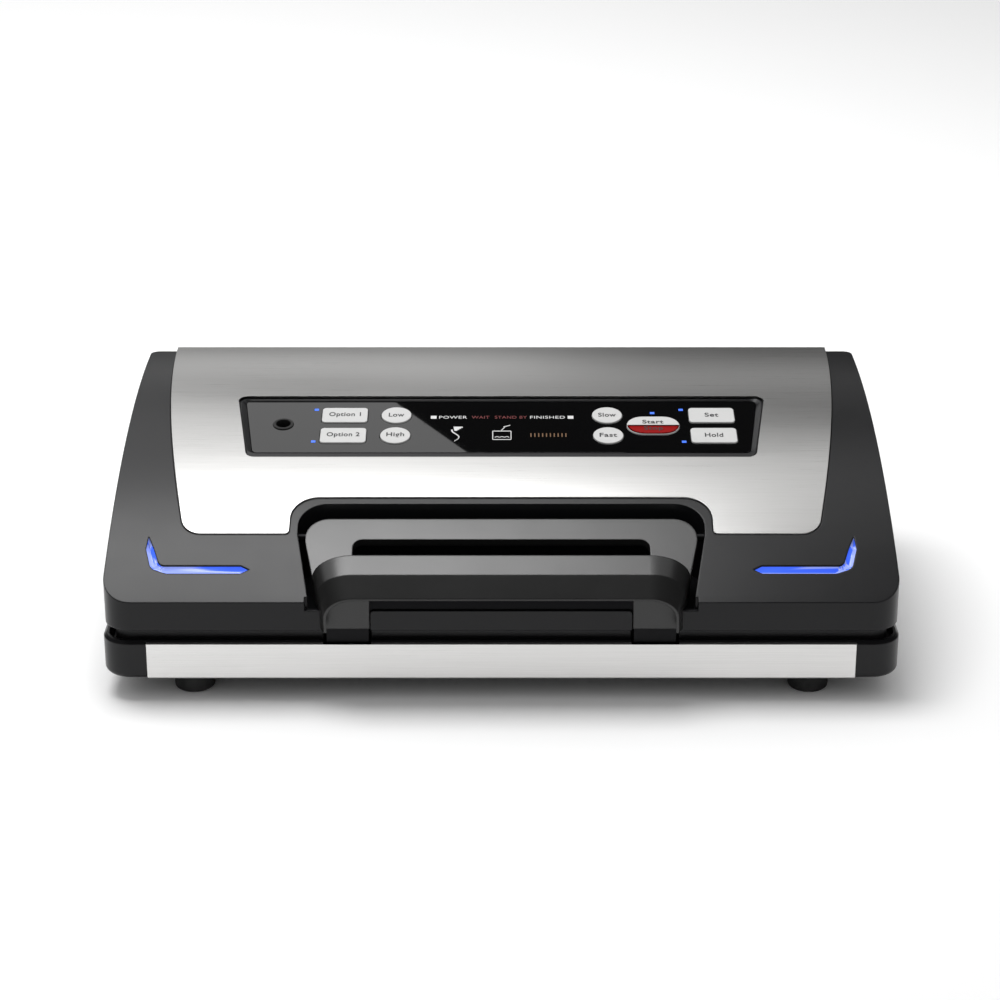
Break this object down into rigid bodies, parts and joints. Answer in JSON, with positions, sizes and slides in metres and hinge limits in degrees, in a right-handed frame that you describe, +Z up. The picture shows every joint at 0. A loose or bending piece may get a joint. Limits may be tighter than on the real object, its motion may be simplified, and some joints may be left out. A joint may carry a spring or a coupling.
{
  "type": "vacuum sealer",
  "caption": "Countertop vacuum sealer with a hinged lid, a pivoting latch handle, a glossy key panel, corner light strips and a steel-faced base.",
  "frame": {"origin": "centre of the footprint on the surface the feet stand on", "axes": "+Z up, the front with the handle faces -Y, +X is the user's right and the long axis"},
  "size_m": [0.403, 0.2344, 0.1133],
  "materials": {
    "black_plastic": "fine satin moulded",
    "gloss_black": "polished, dark tinted",
    "steel": "fine horizontal brushing",
    "trim_steel": "fine horizontal brushing",
    "handle_plastic": "satin, very fine grain",
    "rubber_black": "matt",
    "gasket_foam": "soft closed-cell foam",
    "deck_plastic": "fine texture",
    "tray_plastic": "translucent smoke",
    "element_wire": "bright resistance ribbon",
    "sealing_tape": "brown coated glass cloth",
    "silicone_red": "silicone",
    "key_white": "smooth satin",
    "key_red": "smooth satin",
    "light_blue": "lit diffuser",
    "led_blue": "lit lens",
    "board_green": "solder mask",
    "switch_black": "moulded",
    "core_iron": "varnished laminations",
    "motor_metal": "zinc plated",
    "hose_silicone": "translucent silicone",
    "pin_steel": "ground",
    "screw_metal": "black zinc",
    "blade_steel": "honed"
  },
  "bodies": {
    "base": {"base_shell": "black_plastic", "front_trim": "trim_steel", "base_deck": "deck_plastic", "foot_front_left": "rubber_black", "foot_front_right": "rubber_black", "foot_rear_left": "rubber_black", "foot_rear_right": "rubber_black", "lower_gasket": "gasket_foam", "drip_tray": "tray_plastic", "seal_bar": "deck_plastic", "seal_wires": "element_wire", "seal_tape": "sealing_tape", "cutter_rail": "deck_plastic", "hinge_pin_left": "pin_steel", "hinge_pin_right": "pin_steel", "base_screws": "screw_metal", "mains_gland": "rubber_black", "latch_catch_left": "screw_metal", "latch_catch_right": "screw_metal"},
    "cutter": {"cutter_slider": "handle_plastic", "cutter_blade": "blade_steel"},
    "lid": {"lid_shell": "black_plastic", "steel_cover": "steel", "lid_liner": "deck_plastic", "upper_gasket": "gasket_foam", "pressure_strip": "silicone_red", "panel_bezel": "black_plastic", "panel_window": "gloss_black", "port_insert": "rubber_black", "indicator_lights": "led_blue", "light_left": "light_blue", "light_right": "light_blue", "control_board": "board_green", "micro_switches": "switch_black", "power_board": "board_green", "transformer": "core_iron", "motor_can": "motor_metal", "pump_head": "switch_black", "vacuum_hose": "hose_silicone", "handle_pin": "screw_metal"},
    "latch_handle": {"handle_frame": "handle_plastic", "latch_hook_left": "screw_metal", "latch_hook_right": "screw_metal"},
    "pump_rotor": {"pump_rotor": "pin_steel"},
    "key_canister": {"key_canister": "key_white"},
    "key_marinate": {"key_marinate": "key_white"},
    "key_food_normal": {"key_food_normal": "key_white"},
    "key_food_liquid": {"key_food_liquid": "key_white"},
    "key_speed_gentle": {"key_speed_gentle": "key_white"},
    "key_speed_normal": {"key_speed_normal": "key_white"},
    "key_start": {"key_start": "key_white"},
    "key_cancel": {"key_cancel": "key_red"},
    "key_seal": {"key_seal": "key_white"},
    "key_pulse": {"key_pulse": "key_white"}
  },
  "joints": [
    {"name": "lid_hinge", "type": "hinge", "parent": "base", "child": "lid", "pos_m": [0, 0.1073, 0.0446], "axis": [-1, 0, 0], "range_deg": [0, 65]},
    {"name": "handle_pivot", "type": "hinge", "parent": "lid", "child": "latch_handle", "pos_m": [0, -0.0662, 0.0705], "axis": [-1, 0, 0], "range_deg": [0, 40]},
    {"name": "cutter_slide", "type": "slide", "parent": "base", "child": "cutter", "axis": [1, 0, 0], "range_m": [-0.148, 0.148]},
    {"name": "pump_spin", "type": "hinge", "parent": "lid", "child": "pump_rotor", "pos_m": [0.05, 0.0758, 0.062], "axis": [1, 0, 0], "continuous": true},
    {"name": "key_canister_press", "type": "slide", "parent": "lid", "child": "key_canister", "axis": [0, 0.203, -0.9792], "range_m": [0, 0.0008], "stiffness_N_per_m": 600, "springref_m": -0.0006},
    {"name": "key_marinate_press", "type": "slide", "parent": "lid", "child": "key_marinate", "axis": [0, 0.203, -0.9792], "range_m": [0, 0.0008], "stiffness_N_per_m": 600, "springref_m": -0.0006},
    {"name": "key_food_normal_press", "type": "slide", "parent": "lid", "child": "key_food_normal", "axis": [0, 0.203, -0.9792], "range_m": [0, 0.0008], "stiffness_N_per_m": 600, "springref_m": -0.0006},
    {"name": "key_food_liquid_press", "type": "slide", "parent": "lid", "child": "key_food_liquid", "axis": [0, 0.203, -0.9792], "range_m": [0, 0.0008], "stiffness_N_per_m": 600, "springref_m": -0.0006},
    {"name": "key_speed_gentle_press", "type": "slide", "parent": "lid", "child": "key_speed_gentle", "axis": [0, 0.203, -0.9792], "range_m": [0, 0.0008], "stiffness_N_per_m": 600, "springref_m": -0.0006},
    {"name": "key_speed_normal_press", "type": "slide", "parent": "lid", "child": "key_speed_normal", "axis": [0, 0.203, -0.9792], "range_m": [0, 0.0008], "stiffness_N_per_m": 600, "springref_m": -0.0006},
    {"name": "key_start_press", "type": "slide", "parent": "lid", "child": "key_start", "axis": [0, 0.203, -0.9792], "range_m": [0, 0.0008], "stiffness_N_per_m": 600, "springref_m": -0.0006},
    {"name": "key_cancel_press", "type": "slide", "parent": "lid", "child": "key_cancel", "axis": [0, 0.203, -0.9792], "range_m": [0, 0.0008], "stiffness_N_per_m": 600, "springref_m": -0.0006},
    {"name": "key_seal_press", "type": "slide", "parent": "lid", "child": "key_seal", "axis": [0, 0.203, -0.9792], "range_m": [0, 0.0008], "stiffness_N_per_m": 600, "springref_m": -0.0006},
    {"name": "key_pulse_press", "type": "slide", "parent": "lid", "child": "key_pulse", "axis": [0, 0.203, -0.9792], "range_m": [0, 0.0008], "stiffness_N_per_m": 600, "springref_m": -0.0006}
  ]
}
